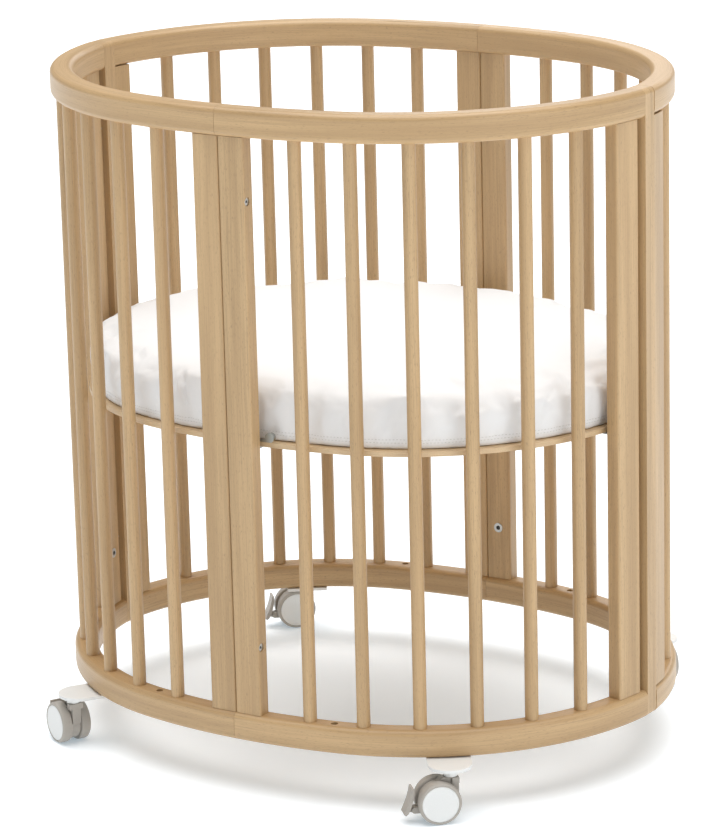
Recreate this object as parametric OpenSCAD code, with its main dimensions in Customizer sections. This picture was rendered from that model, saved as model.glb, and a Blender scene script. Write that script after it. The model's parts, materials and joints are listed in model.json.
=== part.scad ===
// Oval baby crib: four curved quarter panels of beech, a height-adjustable bed base with
// a mattress, and four twin-wheel casters with brakes.
// The long axis is X, the width is Y, and the origin is on the floor at the crib's centre.
// Each panel is described in the +X, +Y quarter and mirrored into its own quarter.

/* [Oval] */
// Half width of the oval, centre to the rail's centre line
half_width = 314; // [300:1:330]
// Radius of the rail's centre line along the sides
side_r = 700; // [680:5:720]
// Radius of the rail's centre line round the ends
end_r = 330; // [325:1:335]
// Angle of the side arc in one quarter, degrees
side_angle = 11.3; // [11:0.1:12]
// Angle of the end arc in one quarter, degrees
end_angle = 72.2; // [71.5:0.1:72.5]

/* [Rails] */
// Thickness of a rail, inner face to outer face
rail_t = 30.5; // [28:0.5:34]
// Height of a rail
rail_h = 35.5; // [30:0.5:40]
// Radius of a rail's long edges
rail_edge_r = 7.5; // [6:0.5:8]
// Floor to the underside of the bottom rail
rail_z = 69; // [69:0.5:72]
// Clear height between the bottom rail and the top rail
clear_h = 731; // [700:1:760]

/* [Slats and posts] */
// Diameter of a slat
slat_d = 17; // [14:0.5:20]
// Number of slats in a quarter
slat_count = 6; // [5:1:6]
// Arc length from the side joint to the first slat
slat_first = 99.6; // [95:0.1:104]
// Arc length from slat to slat
slat_pitch = 70.5; // [68:0.5:71]
// Thickness of a side post
post_t = 20; // [18:1:24]
// Width of a side post
side_post_w = 36.6; // [34:0.2:38]
// Width of the end post of a front panel
end_post_w = 41; // [36:1:42]
// Thickness of the through post at an end
through_t = 28; // [26:0.5:29]
// Far edge of the through post, measured from the crib's long axis
through_far = 41; // [36:1:44]

/* [Bed base and mattress] */
// Underside of the bed base above the floor
base_z = 445; // [440:1:450]
// Thickness of the bed base
base_t = 7; // [6:0.5:9]
// Gap from the rail's centre line to the edge of the bed base
base_inset = 18; // [17.5:0.5:20]
// Diameter of an air hole in the bed base
air_hole_d = 18; // [10:1:24]
// Gap from the rail's centre line to the side of the mattress
mattress_inset = 24; // [23:0.5:27]
// Thickness of the mattress
mattress_t = 68; // [60:1:76]
// Height of the support bolts of the setting in use
bolt_level = 460.5; // [460:0.5:461]
// Drop from the upper height setting to the lower one
level_step = 283; // [270:0.5:290]

/* [Casters] */
// Arc length of the casters from the side joint
caster_s = 274; // [268:1:280]
// Distance of a caster's stem outwards from the rail's centre line
caster_out = 40; // [38:0.5:41]
// Wheel radius
wheel_r = 27; // [25:0.5:27]
// Width of one of the two wheels
wheel_w = 13.5; // [12:0.5:15]
// Distance of the wheel axle behind the stem
trail = 17; // [15:0.5:18]

/* [Hidden] */
$fn = 64;

beech = "burlywood";
steel = "silver";
plastic = "rosybrown";

// Quarters as [X sign, Y sign].
front_left = [-1, -1];
front_right = [1, -1];
back_left = [-1, 1];
back_right = [1, 1];
QUARTERS = [front_left, front_right, back_left, back_right];

// Heights of the frame.
rail_top = rail_z + rail_h;
top_rail_z = rail_top + clear_h;
crib_h = top_rail_z + rail_h;

// The quarter's centre line: a side arc and a tangent end arc.
arc_fn = 360;
side_centre = [0, half_width - side_r];
end_centre = side_centre + (side_r - end_r) * [sin(side_angle), cos(side_angle)];
side_len = side_r * side_angle * PI / 180;
half_length = end_centre.x + end_r * sin(side_angle + end_angle);
overrun = 3;
arc_lap = 0.01;

// The seam at the sides, and where the rails meet the through post's strip.
seam = 0.2;
strip_near = 13;
strip_far = 10;
strip_clear = 0.2;

// Joinery.
tenon_d = 10;
tenon_l = 12;
socket_gap = 0.05;
post_tenon = [24, 10];
accessory_s = 132;
accessory_d = 9;
accessory_depth = 20;
post_edge_r = 3;

// Connecting bolts between the panels.
joint_levels = [193, 756.5];
side_bolt_out = 3;
end_bolt_x = half_length - 2.5;
bolt_r = 3;
bolt_head_r = 5;
bolt_head_l = 8;
bolt_recess = 1.5;
insert_r = 4.5;
insert_l = 16;
key_r = 2;

// Height settings of the bed base.
setting_levels = [bolt_level, bolt_level - level_step];
insert_side_x = 18.5;
insert_end_s = 528.3;
height_insert_r = 5.5;
height_insert_l = 14;
flange_r = 6.5;
flange_t = 0.8;

// Brackets that hang the bed base on its support bolts.
bracket_t = 2;
bracket_gap = 1.2;
bracket_half = 11.5;
ear_h = 3;
ear_r = 6.3;
foot_l = 44;
slot_r = 3.3;
stud_at = 30;

// Casters: swivel headings in degrees, of the way each wheel pair trails behind its stem.
SWIVEL = [152, 223, 223, 145];
plate_t = 4;
plate_r = 27.5;
plate_end_out = 31;
plate_screw_at = 17;
boss_h = 8;
stem_r = 4;
stem_top = rail_z - 1.5;
stem_bottom = 40;
fork_top = rail_z - plate_t - boss_h - 0.5;
fork_half = 6;
wheel_in = 6.5;
axle_r = 3;
cap_r = 23;
run_gap = 0.05;
lever_pivot = [46.5, 17];
pivot_r = 2;
lever_w = 20;

// Heading of the outward normal, from +Y towards +X, and points along the centre line.
function heading(s) =
    s < side_len ? s / side_r * 180 / PI : side_angle + (s - side_len) / end_r * 180 / PI;
function on_oval(s, out = 0) =
    let (dir = [sin(heading(s)), cos(heading(s))])
    s < side_len ? side_centre + (side_r + out) * dir : end_centre + (end_r + out) * dir;

// Outline of the whole oval at an inset from the centre line.
function quarter_points(inset, count) =
    let (last = side_len + end_r * end_angle * PI / 180)
    [for (i = [0 : count]) on_oval(last * i / count, -inset)];
function oval_points(inset, count = 26) =
    let (q = quarter_points(inset, count))
    concat(
        [for (i = [0 : count]) q[i]],
        [for (i = [count : -1 : 0]) [q[i].x, -q[i].y]],
        [for (i = [1 : count]) [-q[i].x, -q[i].y]],
        [for (i = [count : -1 : 1]) [-q[i].x, q[i].y]]
    );

// Corner points of a rectangle w by h, centred, with rounded corners.
function rounded_points(w, h, r, steps = 5) = [
    for (corner = [0 : 3], i = [0 : steps])
        let (
            a = corner * 90 + i * 90 / steps,
            cx = (corner == 0 || corner == 3 ? 1 : -1) * (w / 2 - r),
            cy = (corner < 2 ? 1 : -1) * (h / 2 - r)
        )
        [cx + r * cos(a), cy + r * sin(a)]
];

// Puts a piece drawn in the +X, +Y quarter into quarter q.
module in_quarter(q) {
    mirror([q.x < 0 ? 1 : 0, 0, 0])
        mirror([0, q.y < 0 ? 1 : 0, 0])
            children();
}

// Local frame on the centre line: +Y outwards, +X along the panel towards the end.
module at_oval(s, out = 0, z = 0) {
    p = on_oval(s, out);
    translate([p.x, p.y, z])
        rotate([0, 0, -heading(s)])
            children();
}

module slat_places() {
    for (i = [0 : slat_count - 1])
        at_oval(slat_first + i * slat_pitch)
            children();
}

// A stretch of rail about a centre, between two headings.
module rail_arc(centre, r, from, to, z) {
    translate([centre.x, centre.y, z + rail_h / 2])
        rotate([0, 0, 90 - to])
            rotate_extrude(angle = to - from, $fn = arc_fn)
                translate([r, 0])
                    polygon(rounded_points(rail_t, rail_h, rail_edge_r));
}

// One quarter's rail, cut square at the side seam and at the through post.
module rail_blank(z, end_y) {
    difference() {
        union() {
            rail_arc(side_centre, side_r, 0, side_angle + arc_lap, z);
            rail_arc(end_centre, end_r, side_angle, side_angle + end_angle + overrun, z);
        }
        translate([-1, half_width - rail_t, z - 1])
            cube([1 + seam, 2 * rail_t, rail_h + 2]);
        translate([half_length - 2 * rail_t, end_y - 3 * rail_t, z - 1])
            cube([4 * rail_t, 3 * rail_t, rail_h + 2]);
    }
}

// Mortises for slats and posts, cut into the face at height z.
module mortises(z, has_end_post) {
    slat_places()
        translate([0, 0, z - tenon_l - 0.5])
            cylinder(r = tenon_d / 2 + socket_gap, h = 2 * tenon_l + 1);
    side_post_place()
        mortise(z);
    if (has_end_post)
        end_post_place()
            mortise(z);
}

module mortise(z) {
    translate([0, 0, z])
        cube([post_tenon.x + 0.2, post_tenon.y + 0.2, 2 * tenon_l + 1], center = true);
}

module side_post_place() {
    translate([seam + side_post_w / 2, half_width, 0])
        children();
}

module end_post_place() {
    at_oval(insert_end_s)
        children();
}

module top_rail(q) {
    end_y = (q.y < 0 ? strip_near : strip_far) + strip_clear;
    color(beech)
        in_quarter(q)
            difference() {
                rail_blank(top_rail_z, end_y);
                mortises(top_rail_z, q.y < 0);
            }
}

module bottom_rail(q) {
    end_y = (q.y < 0 ? strip_near : strip_far) + strip_clear;
    color(beech)
        in_quarter(q)
            difference() {
                rail_blank(rail_z, end_y);
                mortises(rail_top, q.y < 0);
                at_oval(accessory_s, 0, rail_top - accessory_depth)
                    cylinder(d = accessory_d, h = accessory_depth + 1);
                plate_screw_places()
                    translate([0, 0, rail_z - 1])
                        cylinder(r = 2, h = 20);
            }
}

// Round slats with a tenon at each end.
module slats(q) {
    color(beech)
        in_quarter(q)
            slat_places() {
                translate([0, 0, rail_top])
                    cylinder(d = slat_d, h = clear_h);
                translate([0, 0, rail_top - tenon_l])
                    cylinder(d = tenon_d, h = clear_h + 2 * tenon_l);
            }
}

// A post between the rails, centred on its place, with a tenon at each end.
module post_blank(w) {
    translate([0, 0, rail_top])
        linear_extrude(clear_h)
            polygon(rounded_points(w, post_t, post_edge_r));
    translate([-post_tenon.x / 2, -post_tenon.y / 2, rail_top - tenon_l])
        cube([post_tenon.x, post_tenon.y, clear_h + 2 * tenon_l]);
}

// Where the connecting bolts of the side joint run, along X through both posts.
// The head lies on the +X side at the front joint and on the -X side at the back joint.
module side_bolt_places(y_sign) {
    for (z = joint_levels)
        translate([0, y_sign * (half_width + side_bolt_out), z])
            rotate([0, 0, y_sign < 0 ? 0 : 180])
                rotate([0, 90, 0])
                    children();
}

// Where the connecting bolts of an end joint run, with their heads in the through post.
module end_bolt_places(x_sign) {
    for (z = joint_levels)
        translate([x_sign * end_bolt_x, 0, z])
            rotate([-90, 0, 0])
                children();
}

// Holes for a connecting bolt whose head starts at head_at and whose insert starts at -insert_at.
module bolt_hole(head_at, insert_at) {
    translate([0, 0, -insert_at - insert_l])
        cylinder(r = insert_r, h = insert_l);
    translate([0, 0, -insert_at - 1])
        cylinder(r = bolt_r + 0.3, h = head_at + insert_at + 1);
    translate([0, 0, head_at])
        cylinder(r = bolt_head_r + 0.3, h = 40);
}

side_head_at = side_post_w + seam - bolt_head_l - bolt_recess;
side_insert_at = 4;
end_head_at = through_far - bolt_head_l - bolt_recess;
end_insert_at = 22;

module side_post(q) {
    color(beech)
        difference() {
            in_quarter(q)
                side_post_place()
                    post_blank(side_post_w);
            side_bolt_places(q.y)
                bolt_hole(side_head_at, side_insert_at);
            if (q.x > 0)
                height_insert_holes();
        }
}

// The end post of a front panel stands between the rails.
module end_post(q) {
    color(beech)
        difference() {
            in_quarter(q)
                end_post_place()
                    post_blank(end_post_w);
            end_bolt_places(q.x)
                bolt_hole(end_head_at, end_insert_at);
            height_insert_holes();
        }
}

// The through post of a back panel: a strip that runs past both rails, and a wider
// part between the rails.
module through_post(q) {
    far_heading = 90 - asin((through_far - end_centre.y) / end_r);
    near_heading = 90 - asin((strip_far - 1 - end_centre.y) / end_r);
    color(beech)
        difference() {
            in_quarter(q)
                union() {
                    translate([half_length, strip_far, (rail_z + crib_h) / 2])
                        rotate([90, 0, 0])
                            linear_extrude(strip_near + strip_far)
                                polygon(rounded_points(rail_t, crib_h - rail_z, rail_edge_r));
                    translate([end_centre.x, end_centre.y, rail_top])
                        rotate([0, 0, 90 - near_heading])
                            rotate_extrude(angle = near_heading - far_heading, $fn = arc_fn)
                                translate([end_r - through_t / 2, 0])
                                    square([through_t, clear_h]);
                }
            end_bolt_places(q.x)
                bolt_hole(end_head_at, end_insert_at);
        }
}

// Connecting bolt with a hexagon socket, head at head_at, tip inside its insert.
module joint_bolt(head_at, insert_at) {
    difference() {
        union() {
            translate([0, 0, -insert_at - insert_l + 2])
                cylinder(r = bolt_r, h = head_at + insert_at + insert_l - 2);
            translate([0, 0, head_at])
                cylinder(r = bolt_head_r, h = bolt_head_l);
        }
        translate([0, 0, head_at + bolt_head_l - 4])
            cylinder(r = key_r, h = 5, $fn = 6);
    }
}

module joint_insert(insert_at) {
    difference() {
        translate([0, 0, -insert_at - insert_l])
            cylinder(r = insert_r, h = insert_l);
        translate([0, 0, -insert_at - insert_l - 1])
            cylinder(r = bolt_r, h = insert_l + 2);
    }
}

module joint_bolts() {
    color(steel) {
        for (y_sign = [-1, 1])
            side_bolt_places(y_sign)
                joint_bolt(side_head_at, side_insert_at);
        for (x_sign = [-1, 1])
            end_bolt_places(x_sign)
                joint_bolt(end_head_at, end_insert_at);
    }
}

module joint_inserts() {
    color(steel) {
        for (y_sign = [-1, 1])
            side_bolt_places(y_sign)
                joint_insert(side_insert_at);
        for (x_sign = [-1, 1])
            end_bolt_places(x_sign)
                joint_insert(end_insert_at);
    }
}

// The four posts that carry the bed base. Local +Y points out of the crib, z = 0 at the floor,
// and the origin lies on the post's inner face.
module support_places() {
    side_support_places()
        children();
    for (q = [front_left, front_right])
        in_quarter(q)
            at_oval(insert_end_s, -post_t / 2)
                children();
}

module side_support_places() {
    for (q = [front_right, back_right])
        in_quarter(q)
            translate([insert_side_x, half_width - post_t / 2, 0])
                children();
}

// Threaded inserts at every height setting, axis along local -Y.
module height_insert_places() {
    support_places()
        for (z = setting_levels)
            translate([0, 0, z])
                rotate([-90, 0, 0])
                    children();
}

// Blind holes for the inserts.
module height_insert_holes() {
    height_insert_places()
        translate([0, 0, -1])
            cylinder(r = height_insert_r, h = 1 + height_insert_l);
}

module height_inserts() {
    color(steel)
        height_insert_places()
            difference() {
                union() {
                    cylinder(r = height_insert_r, h = height_insert_l);
                    translate([0, 0, -flange_t])
                        cylinder(r = flange_r, h = flange_t);
                }
                translate([0, 0, -flange_t - 1])
                    cylinder(r = bolt_r + run_gap, h = height_insert_l);
            }
}

// Ventilated board that carries the mattress.
module bed_base() {
    rows = 3;
    columns = 5;
    pitch = 66;
    color(beech)
        translate([0, 0, base_z])
            difference() {
                linear_extrude(base_t)
                    polygon(oval_points(base_inset));
                for (row = [-rows : rows], column = [-columns : columns]) {
                    at = [column * pitch + (row % 2 == 0 ? 0 : pitch / 2), row * pitch];
                    if (norm([at.x / 340, at.y / 255]) < 0.95)
                        translate([at.x, at.y, -1])
                            cylinder(d = air_hole_d, h = base_t + 2);
                }
            }
}

// Folded steel angle: the foot lies under the board, and the upright hangs on the bolt
// by a slot that is open at the bottom.
module base_bracket() {
    upright_h = bolt_level + 9 - (base_z - bracket_t);
    translate([0, -bracket_gap - bracket_t, base_z - bracket_t])
        difference() {
            union() {
                translate([-bracket_half, 0, 0])
                    cube([2 * bracket_half, bracket_t, upright_h]);
                translate([-bracket_half, bracket_t - foot_l, 0])
                    cube([2 * bracket_half, foot_l, bracket_t]);
            }
            translate([0, 0, bolt_level - base_z + bracket_t]) {
                translate([0, bracket_t + 1, 0])
                    rotate([90, 0, 0])
                        cylinder(r = slot_r, h = bracket_t + 2);
                translate([-slot_r, -1, -40])
                    cube([2 * slot_r, bracket_t + 2, 40]);
            }
            translate([-7, bracket_t - 9, -1])
                cube([14, 10, bracket_t + 2]);
        }
}

// The brackets on the long sides have a low, narrow ear with a round end, which carries a stud.
module bracket_ear() {
    translate([0, -bracket_gap, bolt_level])
        rotate([90, 0, 0]) {
            translate([bracket_half - 1, -ear_r, 0])
                cube([stud_at - bracket_half + 1, ear_h, bracket_t]);
            translate([stud_at, 0, 0])
                cylinder(r = ear_r, h = bracket_t);
        }
}

module base_brackets() {
    color("dimgray") {
        support_places()
            base_bracket();
        side_support_places()
            bracket_ear();
    }
}

// Two screws up through each foot into the board, and the round stud on each ear.
module bracket_screws() {
    color(steel) {
        support_places()
            for (x = [-1, 1])
                translate([x * (bracket_half - 5), -foot_l + 8, base_z - bracket_t - 2])
                    cylinder(r = 4, h = 2);
        side_support_places()
            translate([stud_at, -bracket_gap - bracket_t, bolt_level])
                rotate([90, 0, 0])
                    difference() {
                        cylinder(r = 5.5, h = 4);
                        translate([0, 0, 1.5])
                            cylinder(r = 2.5, h = 3, $fn = 6);
                    }
    }
}

// Support bolts, screwed into the inserts of the setting in use.
module base_bolts() {
    color(steel)
        support_places()
            translate([0, 0, bolt_level])
                rotate([90, 0, 0])
                    difference() {
                        union() {
                            translate([0, 0, -height_insert_l + 3])
                                cylinder(r = bolt_r, h = height_insert_l + 1);
                            translate([0, 0, bracket_gap + bracket_t + 0.3])
                                cylinder(r = 5.5, h = 3.4);
                        }
                        translate([0, 0, bracket_gap + bracket_t + 1.7])
                            cylinder(r = key_r, h = 3, $fn = 6);
                    }
}

// Plain closed solid of the mattress.
module mattress() {
    color("white")
        translate([0, 0, base_z + base_t + 0.3])
            linear_extrude(mattress_t)
                polygon(oval_points(mattress_inset));
}

// Screws that hold a caster plate to the bottom rail.
module plate_screw_places() {
    for (side = [-1, 1])
        at_oval(caster_s)
            translate([side * plate_screw_at, 0, 0])
                children();
}

module caster_screws() {
    color(steel)
        for (q = QUARTERS)
            in_quarter(q)
                plate_screw_places() {
                    translate([0, 0, rail_z - plate_t])
                        cylinder(r = 2, h = 20);
                    translate([0, 0, rail_z - plate_t - 2])
                        cylinder(r = 4, h = 2);
                }
}

// Tongue-shaped plate with the stem's bearing beyond the rail.
module caster_plate(q) {
    bore_r = stem_r + run_gap;
    color("whitesmoke")
        in_quarter(q)
            difference() {
                union() {
                    at_oval(caster_s, 0, rail_z - plate_t)
                        linear_extrude(plate_t) {
                            translate([0, plate_end_out])
                                circle(r = plate_r);
                            translate([-plate_r, -rail_t / 2])
                                square([2 * plate_r, plate_end_out + rail_t / 2]);
                        }
                    at_oval(caster_s, caster_out, rail_z - plate_t - boss_h)
                        cylinder(r1 = 8.5, r2 = 10.5, h = boss_h + 1);
                }
                at_oval(caster_s, caster_out, rail_z - plate_t - boss_h - 1)
                    cylinder(r = bore_r, h = stem_top + 0.3 - (rail_z - plate_t - boss_h - 1));
                plate_screw_places()
                    translate([0, 0, rail_z - plate_t - 1])
                        cylinder(r = 2, h = plate_t + 2);
            }
}

// Caster frame: origin on the floor under the stem, +X the way the wheels trail,
// +Y along the axle.
module at_caster(q) {
    place = on_oval(caster_s, caster_out);
    translate([q.x * place.x, q.y * place.y, 0])
        rotate([0, 0, SWIVEL[search([q], QUARTERS)[0]]])
            children();
}

// Places a piece drawn about the axle, whose own axis is Z.
module on_axle(q) {
    at_caster(q)
        translate([trail, 0, wheel_r])
            rotate([-90, 0, 0])
                children();
}

module caster_stem(q) {
    color(steel)
        at_caster(q)
            translate([0, 0, stem_bottom])
                cylinder(r = stem_r, h = stem_top - stem_bottom);
}

// Body between the wheels: a disc round the axle, a shoulder under the stem and a clevis
// for the brake lever.
module caster_fork(q) {
    shoulder_z = 49;
    color(plastic)
        at_caster(q)
            difference() {
                union() {
                    translate([0, fork_half, 0])
                        rotate([90, 0, 0])
                            linear_extrude(2 * fork_half) {
                                translate([trail, wheel_r])
                                    circle(r = wheel_r - 3.5);
                                polygon([
                                    [-9, 30], [trail, 20], [trail + 4, 49], [12, fork_top], [-9, fork_top]
                                ]);
                                polygon([
                                    [trail, 13.5], [lever_pivot.x, 13], [lever_pivot.x, 21], [trail, 26]
                                ]);
                                translate(lever_pivot)
                                    circle(r = 4);
                            }
                    translate([-9, -9.5, shoulder_z])
                        cube([9, 19, fork_top - shoulder_z]);
                }
                translate([0, 0, stem_bottom])
                    cylinder(r = stem_r, h = 30);
                translate([trail, 50, wheel_r])
                    rotate([90, 0, 0])
                        cylinder(r = axle_r, h = 100);
                translate([lever_pivot.x - 5, -2.4, 5])
                    cube([20, 4.8, 25]);
            }
    color(plastic)
        at_caster(q)
            translate([lever_pivot.x, 3, lever_pivot.y])
                rotate([90, 0, 0])
                    cylinder(r = pivot_r, h = 6);
}

module caster_axle(q) {
    color(steel)
        on_axle(q)
            translate([0, 0, -wheel_in - wheel_w + 2.5])
                cylinder(r = axle_r, h = 2 * (wheel_in + wheel_w - 2.5));
}

// Both wheels of a pair, each with a recess for its cap.
module caster_wheels(q) {
    out = wheel_in + wheel_w;
    profile = [
        [axle_r + run_gap, wheel_in],
        [wheel_r - 2, wheel_in],
        [wheel_r - 0.6, wheel_in + 0.8],
        [wheel_r, wheel_in + 2.4],
        [wheel_r, out - 3],
        [wheel_r - 0.6, out - 1.2],
        [wheel_r - 2, out],
        [cap_r + 0.1, out],
        [cap_r + 0.1, out - 1.8],
        [axle_r + run_gap, out - 1.8]
    ];
    color("tan")
        on_axle(q)
            for (side = [0, 1])
                mirror([0, 0, side])
                    rotate_extrude($fn = 96)
                        polygon(profile);
}

module caster_caps(q) {
    out = wheel_in + wheel_w;
    profile = [
        [0, out - 1.8],
        [cap_r, out - 1.8],
        [cap_r, out - 0.4],
        [cap_r - 1, out + 0.2],
        [cap_r - 2.5, out - 0.3],
        [0, out - 0.3]
    ];
    color("whitesmoke")
        on_axle(q)
            for (side = [0, 1])
                mirror([0, 0, side])
                    rotate_extrude($fn = 96)
                        polygon(profile);
}

// Brake lever: a curved pad with a lug that turns on the clevis pin.
module caster_brake(q) {
    color(plastic)
        at_caster(q)
            difference() {
                union() {
                    translate([0, lever_w / 2, 0])
                        rotate([90, 0, 0])
                            linear_extrude(lever_w)
                                polygon([
                                    [48, 46.5], [50.5, 46.5], [52, 38], [54.3, 30], [57.5, 22], [61, 14],
                                    [58.5, 12], [55, 15], [52, 22], [49.5, 30], [47.8, 38]
                                ]);
                    translate([0, 2, 0])
                        rotate([90, 0, 0])
                            linear_extrude(4) {
                                translate(lever_pivot)
                                    circle(r = 4);
                                polygon([
                                    [lever_pivot.x, 13], [56, 15], [54, 20], [lever_pivot.x, 21]
                                ]);
                            }
                }
                translate([lever_pivot.x, 10, lever_pivot.y])
                    rotate([90, 0, 0])
                        cylinder(r = pivot_r + run_gap, h = 20);
            }
}

top_rail(front_left);  // front_left_top_rail
bottom_rail(front_left);  // front_left_bottom_rail
slats(front_left);  // front_left_slats
side_post(front_left);  // front_left_side_post
end_post(front_left);  // front_left_end_post
top_rail(front_right);  // front_right_top_rail
bottom_rail(front_right);  // front_right_bottom_rail
slats(front_right);  // front_right_slats
side_post(front_right);  // front_right_side_post
end_post(front_right);  // front_right_end_post
top_rail(back_left);  // back_left_top_rail
bottom_rail(back_left);  // back_left_bottom_rail
slats(back_left);  // back_left_slats
side_post(back_left);  // back_left_side_post
through_post(back_left);  // back_left_through_post
top_rail(back_right);  // back_right_top_rail
bottom_rail(back_right);  // back_right_bottom_rail
slats(back_right);  // back_right_slats
side_post(back_right);  // back_right_side_post
through_post(back_right);  // back_right_through_post
joint_bolts();
joint_inserts();
height_inserts();
bed_base();
base_brackets();
bracket_screws();
base_bolts();
mattress();
caster_screws();
caster_plate(front_left);  // front_left_caster_plate
caster_stem(front_left);  // front_left_caster_stem
caster_fork(front_left);  // front_left_caster_fork
caster_axle(front_left);  // front_left_caster_axle
caster_wheels(front_left);  // front_left_caster_wheels
caster_caps(front_left);  // front_left_caster_caps
caster_brake(front_left);  // front_left_caster_brake
caster_plate(front_right);  // front_right_caster_plate
caster_stem(front_right);  // front_right_caster_stem
caster_fork(front_right);  // front_right_caster_fork
caster_axle(front_right);  // front_right_caster_axle
caster_wheels(front_right);  // front_right_caster_wheels
caster_caps(front_right);  // front_right_caster_caps
caster_brake(front_right);  // front_right_caster_brake
caster_plate(back_left);  // back_left_caster_plate
caster_stem(back_left);  // back_left_caster_stem
caster_fork(back_left);  // back_left_caster_fork
caster_axle(back_left);  // back_left_caster_axle
caster_wheels(back_left);  // back_left_caster_wheels
caster_caps(back_left);  // back_left_caster_caps
caster_brake(back_left);  // back_left_caster_brake
caster_plate(back_right);  // back_right_caster_plate
caster_stem(back_right);  // back_right_caster_stem
caster_fork(back_right);  // back_right_caster_fork
caster_axle(back_right);  // back_right_caster_axle
caster_wheels(back_right);  // back_right_caster_wheels
caster_caps(back_right);  // back_right_caster_caps
caster_brake(back_right);  // back_right_caster_brake
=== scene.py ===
import json
import math

import bmesh
import bpy
import numpy as np
from mathutils import Matrix, Vector
from mathutils.bvhtree import BVHTree


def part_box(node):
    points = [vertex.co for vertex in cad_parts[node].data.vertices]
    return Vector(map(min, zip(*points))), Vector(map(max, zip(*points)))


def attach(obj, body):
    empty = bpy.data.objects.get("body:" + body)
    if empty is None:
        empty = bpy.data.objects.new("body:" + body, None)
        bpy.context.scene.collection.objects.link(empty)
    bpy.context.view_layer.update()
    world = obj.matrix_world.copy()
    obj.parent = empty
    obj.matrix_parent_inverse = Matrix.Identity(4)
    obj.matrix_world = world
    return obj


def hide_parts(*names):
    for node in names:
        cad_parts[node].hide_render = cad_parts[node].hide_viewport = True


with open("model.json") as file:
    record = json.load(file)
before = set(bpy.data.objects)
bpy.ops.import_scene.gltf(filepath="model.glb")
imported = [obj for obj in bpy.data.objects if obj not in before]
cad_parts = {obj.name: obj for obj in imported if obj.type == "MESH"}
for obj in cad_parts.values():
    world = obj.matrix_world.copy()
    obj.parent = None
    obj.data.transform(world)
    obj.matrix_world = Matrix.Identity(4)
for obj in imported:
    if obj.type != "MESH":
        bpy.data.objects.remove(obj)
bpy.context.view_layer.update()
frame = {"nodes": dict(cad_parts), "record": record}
behaviour = frame["record"]["behaviour"]
body_of_node = {n: body for body, members in behaviour["bodies"].items() for n in members}

# Camera: a long lens from a little above the top rail, turned a third of the way to one end.
camera = bpy.data.objects.new("camera", bpy.data.cameras.new("camera"))
bpy.context.scene.collection.objects.link(camera)
bpy.context.scene.camera = camera
camera.data.sensor_width = 36
camera.data.lens = 164.75
camera.data.shift_x = -0.0019
camera.data.shift_y = -0.0017
camera.data.clip_end = 200
camera_right = Vector((0.85001706, 0.52623869, -0.02332017))
camera_up = Vector((-0.11942668, 0.23564667, 0.96447287))
camera_axes = Matrix((camera_right, camera_up, camera_right.cross(camera_up))).transposed()
camera.matrix_world = Matrix.Translation((2.5469, -4.0628, 1.7142)) @ camera_axes.to_4x4()

# Studio: a white surround, one very soft light overhead, a softbox on the right in front, and a
# lit backdrop that puts a sheen on the faces that point up.
bpy.context.scene.view_settings.view_transform = "Standard"
world = bpy.data.worlds.new("surround")
world.use_nodes = True
world.node_tree.nodes["Background"].inputs["Color"].default_value = (0.94, 0.97, 1, 1)
world.node_tree.nodes["Background"].inputs["Strength"].default_value = 0.24
bpy.context.scene.world = world
for name, kind, power, size, place, towards in [
    ("overhead", "SUN", 3.5, math.radians(70), (0, 0, 4), (0.05, -0.05, -1)),
    ("softbox", "AREA", 39, (2.2, 2.2), (4.4, -1.6, 2.0), (-4.4, 1.6, -1.4)),
    ("backdrop", "AREA", 46, (4.6, 1.4), (-1.2, 5.8, 2.5), (1.2, -5.8, -1.7)),
]:
    light = bpy.data.objects.new(name, bpy.data.lights.new(name, kind))
    light.data.energy = power
    if kind == "SUN":
        light.data.angle = size
    else:
        light.data.shape = "RECTANGLE"
        light.data.size, light.data.size_y = size
    light.visible_camera = False
    light.location = place
    light.rotation_mode = "QUATERNION"
    light.rotation_quaternion = Vector(towards).to_track_quat("-Z", "Y")
    bpy.context.scene.collection.objects.link(light)


# Floor: a wide sheet of pale matt board, smooth apart from faint clouding. It also glows weakly
# with a cool light: painted light that keeps its shadow soft, light and neutral, and adds to the
# light thrown up onto the crib.
class Value:
    """An output in a finish's nodes, so that shader maths reads as an expression."""

    def __init__(self, finish, socket):
        self.finish = finish
        self.socket = socket

    def __add__(self, other):
        return self.finish.maths("ADD", self, other)

    __radd__ = __add__

    def __sub__(self, other):
        return self.finish.maths("SUBTRACT", self, other)

    def __rsub__(self, other):
        return self.finish.maths("SUBTRACT", other, self)

    def __mul__(self, other):
        return self.finish.maths("MULTIPLY", self, other)

    __rmul__ = __mul__

    def __truediv__(self, other):
        return self.finish.maths("DIVIDE", self, other)

    def __abs__(self):
        return self.finish.maths("ABSOLUTE", self)

    def __lt__(self, other):
        return self.finish.maths("LESS_THAN", self, other)

    def __gt__(self, other):
        return self.finish.maths("GREATER_THAN", self, other)


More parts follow.
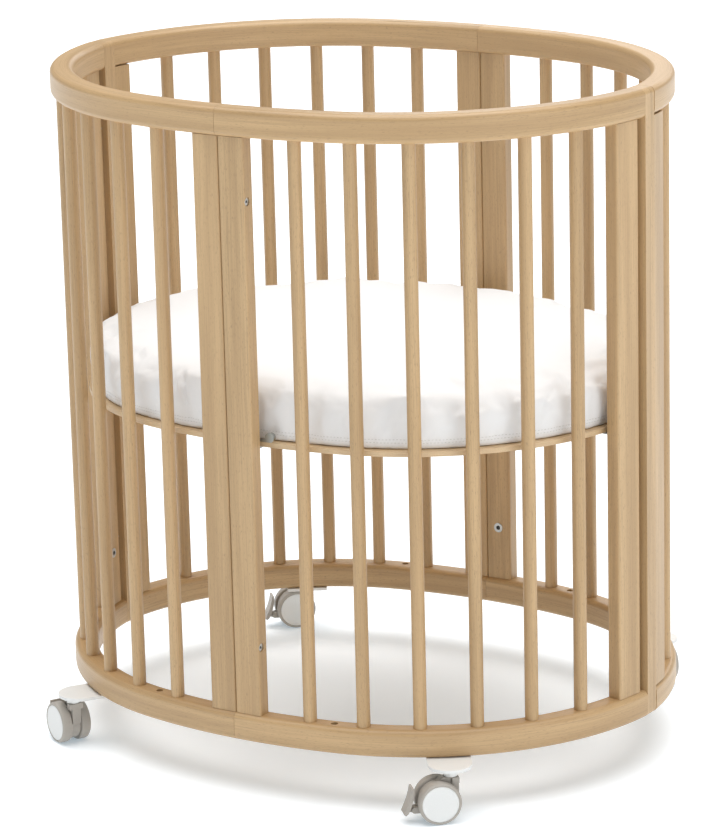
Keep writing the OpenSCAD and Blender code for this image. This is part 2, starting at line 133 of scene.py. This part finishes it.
class Finish:
    """A material and the nodes that make its surface."""

    def __init__(self, name):
        self.material = bpy.data.materials.new(name)
        self.material.use_nodes = True
        self.tree = self.material.node_tree
        self.shader = self.tree.nodes["Principled BSDF"]

    def feed(self, node, inputs):
        for key, value in inputs.items():
            if isinstance(value, Value):
                self.tree.links.new(value.socket, node.inputs[key])
            else:
                node.inputs[key].default_value = value

    def add(self, kind, settings=None, inputs=None, output=0):
        node = self.tree.nodes.new(kind)
        for setting, value in (settings or {}).items():
            if setting == "stops":
                stops = node.color_ramp.elements
                for stop in value[2:]:
                    stops.new(stop[0])
                for element, (position, shade) in zip(stops, value):
                    element.position = position
                    element.color = (shade, shade, shade, 1)
            else:
                setattr(node, setting, value)
        self.feed(node, inputs or {})
        return Value(self, node.outputs[output])

    def maths(self, operation, *values):
        return self.add("ShaderNodeMath", {"operation": operation}, dict(enumerate(values)))

    def place(self):
        """X, Y and Z on the piece, in metres."""
        spot = self.add("ShaderNodeTexCoord", output="Object")
        return [self.add("ShaderNodeSeparateXYZ", None, {0: spot}, axis) for axis in "XYZ"]

    def vector(self, x, y, z):
        return self.add("ShaderNodeCombineXYZ", None, {"X": x, "Y": y, "Z": z})

    def noise(self, x, y, z, detail=2, scale=1):
        return self.add(
            "ShaderNodeTexNoise",
            None,
            {"Vector": self.vector(x, y, z), "Scale": scale, "Detail": detail},
        )

    def ramp(self, value, *stops):
        return self.add("ShaderNodeValToRGB", {"stops": stops}, {"Fac": value})

    def mix(self, share, a, b):
        return self.add("ShaderNodeMix", {"data_type": "RGBA"}, {0: share, 6: a, 7: b}, 2)

    def bump(self, height, depth, strength=1):
        return self.add(
            "ShaderNodeBump",
            None,
            {"Height": height, "Distance": depth, "Strength": strength},
            "Normal",
        )

    def surface(self, **inputs):
        names = {key: key.replace("_", " ") for key in inputs}
        self.feed(self.shader, {names[key]: value for key, value in inputs.items()})
        return self.material


floor_finish = Finish("pale_floor")
x, y, z = floor_finish.place()
cloudy = floor_finish.noise(x, y, z, 3, 1.3)
floor_finish.surface(
    Base_Color=floor_finish.mix(cloudy, (0.86, 0.86, 0.86, 1), (0.89, 0.89, 0.89, 1)),
    Roughness=0.9,
    # Painted light: a weak, slightly blue glow that lightens and cools the floor's shadow and
    # lights the crib from below.
    Emission_Color=(0.72, 0.88, 1, 1),
    Emission_Strength=0.31,
)
bpy.ops.mesh.primitive_plane_add(size=80, location=(0, 0, 0))
floor = bpy.context.object
floor.name = "floor"
floor.data.materials.append(floor_finish.material)

# Rails: four pairs of bent, laminated beech, cut square where the panels meet. The long edges
# are rounded and sanded, and the grain runs along the bend.
MM = 0.001
QUARTERS = ["front_left", "front_right", "back_left", "back_right"]
LIGHT_BEECH = (0.585, 0.39, 0.195, 1)
DARK_BEECH = (0.44, 0.28, 0.13, 1)
SIDE_R = 700 * MM
END_R = 330 * MM
SIDE_ANGLE = math.radians(11.3)
SIDE_CENTRE = -386 * MM
END_CENTRE = (
    (SIDE_R - END_R) * math.sin(SIDE_ANGLE),
    SIDE_CENTRE + (SIDE_R - END_R) * math.cos(SIDE_ANGLE),
)


def deselect():
    for o in bpy.context.selected_objects:
        o.select_set(False)


def pick(o):
    """Makes o the only selected object, and the active one."""
    deselect()
    o.select_set(True)
    bpy.context.view_layer.objects.active = o


def apply_modifiers(o):
    pick(o)
    for modifier in [m.name for m in o.modifiers]:
        bpy.ops.object.modifier_apply(modifier=modifier)


def finished(node, finish, arris=0):
    """A copy of a CAD node with its edges eased by arris, in the node's place, with a finish."""
    piece = bpy.data.objects.new(node + "_piece", frame["nodes"][node].data.copy())
    bpy.context.scene.collection.objects.link(piece)
    pick(piece)
    piece.data.materials.clear()
    piece.data.materials.append(finish)
    bpy.ops.object.mode_set(mode="EDIT")
    bpy.ops.mesh.select_all(action="SELECT")
    bpy.ops.mesh.customdata_custom_splitnormals_clear()
    bpy.ops.mesh.remove_doubles(threshold=1e-5)
    if arris:
        bpy.ops.mesh.dissolve_limited(angle_limit=math.radians(0.5))
    bpy.ops.object.mode_set(mode="OBJECT")
    if arris:
        eased = piece.modifiers.new("eased", "BEVEL")
        eased.width = arris
        eased.segments = 2
        eased.limit_method = "ANGLE"
        eased.angle_limit = math.radians(40)
    apply_modifiers(piece)
    bpy.ops.object.shade_smooth_by_angle(angle=math.radians(30))
    even = piece.modifiers.new("even", "WEIGHTED_NORMAL")
    even.keep_sharp = True
    apply_modifiers(piece)
    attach(piece, body_of_node[node])
    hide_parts(node)


def along_the_bend(finish):
    """Distance along the rail, distance out from its centre line, height, and a number that
    differs from panel to panel."""
    x, y, z = finish.place()
    ax, ay = abs(x), abs(y)
    heading = []
    reach = []
    for cx, cy in [(0, SIDE_CENTRE), END_CENTRE]:
        dx, dy = ax - cx, ay - cy
        heading.append(finish.maths("ARCTAN2", dx, dy))
        reach.append(finish.maths("SQRT", dx * dx + dy * dy))
    on_side = heading[0] < SIDE_ANGLE
    side_run = heading[0] * SIDE_R
    end_run = (heading[1] - SIDE_ANGLE) * END_R + SIDE_ANGLE * SIDE_R
    run = on_side * side_run + (1 - on_side) * end_run
    out = on_side * (reach[0] - SIDE_R) + (1 - on_side) * (reach[1] - END_R)
    panel = (x > 0) * 3.1 + (y > 0) * 7.3
    return run, out, z, panel


def beech(along, across, depth, plank, light=LIGHT_BEECH, dark=DARK_BEECH):
    """Lacquered beech. along, across and depth are metres in the plank's own directions, and
    plank is a number that differs from plank to plank."""
    finish = along.finish
    shift = plank * 1.7
    figure = finish.noise(along * 2.2 + shift, across * 55, depth * 55, 3)
    streaks = finish.noise(along * 14 + shift, across * 900, depth * 900, 2)
    flecks = finish.noise(along * 170 + shift, across * 1300, depth * 1300, 1)
    cast = finish.noise(along * 1.1 + shift, across * 9 + plank, depth * 9, 1)
    colour = finish.mix(finish.ramp(figure, (0.36, 0), (0.64, 1)), light, dark)
    colour = finish.mix(
        finish.ramp(streaks, (0.45, 0), (0.72, 1)) * 0.45,
        colour,
        [c * 0.72 for c in dark[:3]] + [1],
    )
    colour = finish.mix(
        finish.ramp(flecks, (0.62, 0), (0.72, 1)) * 0.5, colour, [c * 0.5 for c in dark[:3]] + [1]
    )
    colour = finish.mix(
        finish.ramp(cast, (0.3, 0), (0.7, 0.35)),
        colour,
        [light[0] * 1.06, light[1] * 1.03, light[2], 1],
    )
    grain = streaks * 0.6 + finish.ramp(flecks, (0.6, 0), (0.75, 1)) * -0.4
    return finish.surface(
        Base_Color=colour,
        Roughness=0.42 + streaks * 0.12,
        Normal=finish.bump(grain, 0.00025, 0.35),
        Coat_Weight=0.25,
        Coat_Roughness=0.25,
    )


run, out, z, panel = along_the_bend(Finish("beech_bent"))
bent_beech = beech(run, out, z + panel, panel + (z > 0.5) * 2.3)
for quarter in QUARTERS:
    for level in ["bottom", "top"]:
        finished(f"{quarter}_{level}_rail", bent_beech, arris=1.2 * MM)

# Slats: twenty-four turned beech rods, six to a panel, glued into blind holes in both rails.
# Each rod is cut from its own stick, so the shade changes a little from rod to rod.
SLAT_FIRST = 99.6 * MM
SLAT_PITCH = 70.5 * MM
slat_finish = Finish("beech_turned")
run, out, z, panel = along_the_bend(slat_finish)
stick = slat_finish.maths("ROUND", (run - SLAT_FIRST) / SLAT_PITCH) + panel * 10
stick_shade = slat_finish.add(
    "ShaderNodeTexWhiteNoise", {"noise_dimensions": "1D"}, {"W": stick}, "Value"
)
x, y, z = slat_finish.place()
turned_beech = beech(z, x, y, stick_shade * 9)
for quarter in QUARTERS:
    finished(f"{quarter}_slats", turned_beech)

# Posts: sawn beech, planed and with eased corners. Two stand side by side at the middle of each
# long side, and each end has one front post and one through post that reaches the rims.
x, y, z = Finish("beech_planed").place()
planed_beech = beech(z, x, y, (x > 0) * 4.3 + (y > 0) * 2.9 + (abs(x) > 0.3) * 1.9)
for node in frame["nodes"]:
    if node.endswith("_post"):
        finished(node, planed_beech, arris=0.6 * MM)


# Joint bolts, sleeves, inserts and caster screws: turned steel, zinc plated and slightly worn.
# The bolts go in from the edges of the posts, and the inserts take the bolts of the bed base.
def metal(name, colour, rough, slot_nodes):
    finish = Finish(name)
    x, y, z = finish.place()
    worn = finish.noise(x, y, z, 3, 260)
    brushed = finish.noise(x * 40, y * 40, z * 900, 2, 3)
    finish.surface(
        Base_Color=finish.mix(worn, [c * 0.85 for c in colour] + [1], list(colour) + [1]),
        Metallic=0.95,
        Roughness=rough - 0.08 + worn * 0.16,
        Normal=finish.bump(brushed, 0.0001, 0.3),
    )
    for node, slot in slot_nodes:
        finished(node, finish.material)
    return finish.material


zinc = metal(
    "zinc_plate",
    (0.62, 0.62, 0.60),
    0.32,
    [
        ("joint_bolts", "zinc"),
        ("joint_inserts", "zinc"),
        ("height_inserts", "zinc"),
        ("caster_screws", "zinc"),
    ],
)

# Bed base: a ventilated board of beech plywood, with its layers showing at the edge. Its brackets
# are folded from dark zinc-plated steel, screwed under the board, and hook over support bolts.
BOARD_UNDERSIDE_IN_MM = 445
PLY_IN_MM = 1.4
board_finish = Finish("beech_plywood")
x, y, z = board_finish.place()
ply = board_finish.maths("FRACT", (z * 1000 - BOARD_UNDERSIDE_IN_MM) / PLY_IN_MM)
edge_lines = board_finish.ramp(ply, (0.35, 0), (0.6, 1))
plywood = beech(x, y, z * 6, edge_lines * 0.6, (0.74, 0.55, 0.33, 1), (0.62, 0.43, 0.24, 1))
finished("bed_base", plywood, arris=0.8 * MM)
metal(
    "dark_zinc_plate",
    (0.36, 0.37, 0.35),
    0.36,
    [
        ("base_brackets", "dark_zinc"),
        ("bracket_screws", "dark_zinc"),
        ("base_bolts", "dark_zinc"),
    ],
)

# Mattress: a firm foam core in a white washable cover. The cover is cut a little full, so it
# rumples over the top and puckers round the side. Its lower hem is turned under and held by two
# rows of stitching, and the foam keeps its shape, so the cover moves a few millimetres at most.
cover_finish = Finish("white_cover")
x, y, z = cover_finish.place()
weave = cover_finish.noise(x, y, z, 1, 2600)
soil = cover_finish.noise(x, y, z, 3, 14)
cover_finish.surface(
    Base_Color=cover_finish.mix(soil, (0.87, 0.87, 0.87, 1), (0.90, 0.90, 0.90, 1)),
    Roughness=0.82,
    Sheen_Weight=0.15,
    Sheen_Roughness=0.5,
    Normal=cover_finish.bump(weave, 0.0002, 0.4),
)
MATTRESS_LOW, MATTRESS_HIGH = (corner.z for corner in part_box("mattress"))
UPPER_EDGE = 17 * MM
LOWER_EDGE = 2 * MM
VOXEL = 5.5 * MM
TOP_REACH = (0.378, 0.283)
PUCKER = 1.1 * MM
RUMPLE = 1.3 * MM
COVER_SLACK = 6 * MM
CLOTH_FRAMES = 20


def mattress_start():
    """The foam core: the CAD solid, a little smaller, with a soft upper edge."""
    core = bpy.data.objects.new("mattress_cover", frame["nodes"]["mattress"].data.copy())
    bpy.context.scene.collection.objects.link(core)
    core.data.materials.clear()
    pick(core)
    bpy.ops.object.mode_set(mode="EDIT")
    bpy.ops.mesh.select_all(action="SELECT")
    bpy.ops.mesh.customdata_custom_splitnormals_clear()
    bpy.ops.mesh.remove_doubles(threshold=1e-5)
    bpy.ops.mesh.dissolve_limited(angle_limit=math.radians(0.5))
    bpy.ops.transform.resize(
        value=(0.994, 0.992, 1), center_override=(0, 0, MATTRESS_LOW), orient_type="GLOBAL"
    )
    for level, width, steps in [(MATTRESS_HIGH, UPPER_EDGE, 5), (MATTRESS_LOW, LOWER_EDGE, 2)]:
        bpy.ops.mesh.select_all(action="DESELECT")
        rim = bmesh.from_edit_mesh(core.data)
        for edge in rim.edges:
            edge.select = all(abs(v.co.z - level) < 1e-4 for v in edge.verts)
        rim.select_flush_mode()
        bmesh.update_edit_mesh(core.data)
        bpy.ops.mesh.bevel(offset=width, segments=steps, profile=0.5)
    bpy.ops.object.mode_set(mode="OBJECT")
    core.data.remesh_voxel_size = VOXEL
    bpy.ops.object.voxel_remesh()
    return core


def points_of(mesh):
    co = np.empty(len(mesh.vertices) * 3)
    mesh.vertices.foreach_get("co", co)
    return co.reshape(-1, 3)


def waves(points, seed, count, length, stretch):
    """Smooth, unrepeating swell: a fixed sum of sine waves of about this length, lying mostly
    across the direction of stretch."""
    dice = np.random.default_rng(seed)
    total = np.zeros(len(points))
    for _ in range(count):
        turn = dice.uniform(0, math.tau)
        number = math.tau / (length * dice.uniform(0.7, 1.6))
        total += dice.uniform(0.5, 1) * np.sin(
            number * (points[:, 0] * math.cos(turn) * stretch + points[:, 1] * math.sin(turn))
            + dice.uniform(0, math.tau)
        )
    return total / math.sqrt(count)


core = mattress_start()
rest = points_of(core.data)
height = (rest[:, 2] - MATTRESS_LOW) / (MATTRESS_HIGH - MATTRESS_LOW)
outward = rest[:, :2] / np.linalg.norm(rest[:, :2], axis=1)[:, None]
round_the_side = np.arctan2(outward[:, 1], outward[:, 0])
reach = np.hypot(rest[:, 0] / TOP_REACH[0], rest[:, 1] / TOP_REACH[1])
rim_share = np.clip((reach - 0.93) / 0.07, 0, 1)
# Rumples before the simulation, so that the folds form in the same places each time.
dimple = np.zeros(len(rest))
for k, (count, strength, phase) in enumerate(
    [(37, 0.9, 0.4), (53, 0.7, 1.9), (71, 0.5, 4.1), (23, 0.8, 2.6)]
):
    dimple += strength * np.sin(count * round_the_side + phase + 1.4 * height * (-1) ** k)
side_part = rim_share * np.clip(height * 4, 0, 1)
shaped = rest.copy()
shaped[:, :2] += outward * (PUCKER * dimple * side_part)[:, None]
top_part = np.clip((height - 0.6) / 0.4, 0, 1)
shaped[:, 2] += RUMPLE * waves(rest, 4, 9, 0.085, 0.6) * top_part
core.data.vertices.foreach_set("co", shaped.ravel())
grip = core.vertex_groups.new(name="foam")
hold = np.clip(1 - (height - 0.02) / 0.14, 0.0, 1)
hold = np.maximum(hold, 0.012)
for value in np.unique(np.round(hold, 2)):
    grip.add(np.flatnonzero(np.round(hold, 2) == value).tolist(), float(value), "REPLACE")
cloth = core.modifiers.new("cover_cloth", "CLOTH")
cloth.settings.quality = 6
cloth.settings.mass = 0.25
cloth.settings.tension_stiffness = 18
cloth.settings.compression_stiffness = 18
cloth.settings.shear_stiffness = 6
cloth.settings.bending_stiffness = 0.4
cloth.settings.tension_damping = 8
cloth.settings.compression_damping = 8
cloth.settings.shrink_min = -0.035
cloth.settings.use_pressure = True
cloth.settings.uniform_pressure_force = 1.5
cloth.settings.effector_weights.gravity = 0
cloth.settings.vertex_group_mass = "foam"
cloth.settings.pin_stiffness = 1
cloth.collision_settings.use_collision = False
for step in range(1, CLOTH_FRAMES + 1):
    bpy.context.scene.frame_set(step)
cloth_result = points_of(core.evaluated_get(bpy.context.evaluated_depsgraph_get()).data)
core.modifiers.clear()
bpy.context.scene.frame_set(1)
moved = cloth_result - rest
far = np.linalg.norm(moved, axis=1)
moved *= (COVER_SLACK * np.tanh(far / COVER_SLACK) / np.maximum(far, 1e-9))[:, None]
core.data.vertices.foreach_set("co", (rest + moved).ravel())
core.data.update()
smooth = core.modifiers.new("smooth", "SUBSURF")
smooth.levels = smooth.render_levels = 1
apply_modifiers(core)
bpy.ops.object.shade_smooth()
core.data.materials.append(cover_finish.material)
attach(core, "mattress")
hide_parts("mattress")

# Hem stitching: two rows of white thread that hold the cover's turned-under hem. Each stitch is
# one small bead of thread, half sunk in the cover, and follows its puckers.
HEM_ROWS = (8 * MM, 12 * MM)
STITCH_L = 3.2 * MM
STITCH_PITCH = 4.4 * MM
THREAD_R = 0.45 * MM
LOOKS_ROUND = 720
thread_finish = Finish("white_thread")
x, y, z = thread_finish.place()
twist = thread_finish.noise(x, y, z, 1, 3000)
thread_finish.surface(
    Base_Color=thread_finish.mix(twist, (0.60, 0.60, 0.58, 1), (0.74, 0.74, 0.72, 1)),
    Roughness=0.7 + twist * 0.15,
    Normal=thread_finish.bump(twist, 0.0001, 0.4),
)
deselect()
bpy.ops.mesh.primitive_ico_sphere_add(subdivisions=1, radius=1)
bead = bpy.context.object
pick(bead)
bpy.ops.object.mode_set(mode="EDIT")
bpy.ops.mesh.select_all(action="SELECT")
bpy.ops.transform.resize(value=(STITCH_L / 2, THREAD_R, THREAD_R))
bpy.ops.object.mode_set(mode="OBJECT")
bead_points = points_of(bead.data)
bead_faces = [list(face.vertices) for face in bead.data.polygons]
cover_tree = BVHTree.FromObject(core, bpy.context.evaluated_depsgraph_get())
stitch_points = []
stitch_faces = []
for row in HEM_ROWS:
    path = []
    for k in range(LOOKS_ROUND):
        turn = math.radians(k * 360 / LOOKS_ROUND)
        out = Vector((math.cos(turn), math.sin(turn), 0))
        start = out * 0.6 + Vector((0, 0, MATTRESS_LOW + row))
        path.append(cover_tree.ray_cast(start, -out)[0])
    onward = path[1:] + path[:1]
    walked = np.cumsum([0] + [(there - here).length for here, there in zip(path, onward)])
    count = round(walked[-1] / STITCH_PITCH)
    for at in np.arange(count) * walked[-1] / count:
        k = min(int(np.searchsorted(walked, at, side="right")) - 1, LOOKS_ROUND - 1)
        here, there = path[k], onward[k]
        along = (there - here).normalized()
        spot = here.lerp(there, (at - walked[k]) / max(walked[k + 1] - walked[k], 1e-9))
        side = Vector((along.y, -along.x, 0)).normalized()
        turned = Matrix((along, side, along.cross(side))).transposed()
        first = len(stitch_points)
        stitch_points += [turned @ Vector(point) + spot for point in bead_points]
        stitch_faces += [[first + v for v in face] for face in bead_faces]
bpy.data.objects.remove(bead)
thread = bpy.data.meshes.new("hem_stitches")
thread.from_pydata(stitch_points, [], stitch_faces)
thread.materials.append(thread_finish.material)
stitches = bpy.data.objects.new("hem_stitches", thread)
bpy.context.scene.collection.objects.link(stitches)
pick(stitches)
bpy.ops.object.shade_smooth()
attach(stitches, "mattress")

# Casters: four twin-wheel swivel casters. A white nylon plate is screwed under the rail, a steel
# stem turns in it, and the moulded taupe body carries the axle, two wheels with off-white caps,
# and the brake lever.
plate_finish = Finish("white_nylon")
x, y, z = plate_finish.place()
plate_grain = plate_finish.noise(x, y, z, 2, 900)
plate_finish.surface(
    Base_Color=plate_finish.mix(plate_grain, (0.80, 0.80, 0.78, 1), (0.86, 0.86, 0.84, 1)),
    Roughness=0.38 + plate_grain * 0.1,
    Normal=plate_finish.bump(plate_grain, 0.0001, 0.25),
)
body_finish = Finish("taupe_nylon")
x, y, z = body_finish.place()
body_grain = body_finish.noise(x, y, z, 2, 900)
body_finish.surface(
    Base_Color=body_finish.mix(body_grain, (0.40, 0.365, 0.32, 1), (0.45, 0.41, 0.365, 1)),
    Roughness=0.40 + body_grain * 0.1,
    Normal=body_finish.bump(body_grain, 0.0001, 0.25),
)
for quarter in QUARTERS:
    finished(f"{quarter}_caster_plate", plate_finish.material, arris=0.8 * MM)
    finished(f"{quarter}_caster_caps", plate_finish.material)
    finished(f"{quarter}_caster_fork", body_finish.material, arris=1 * MM)
    finished(f"{quarter}_caster_brake", body_finish.material, arris=1.2 * MM)
    finished(f"{quarter}_caster_wheels", body_finish.material)
    finished(f"{quarter}_caster_stem", zinc)
    finished(f"{quarter}_caster_axle", zinc)
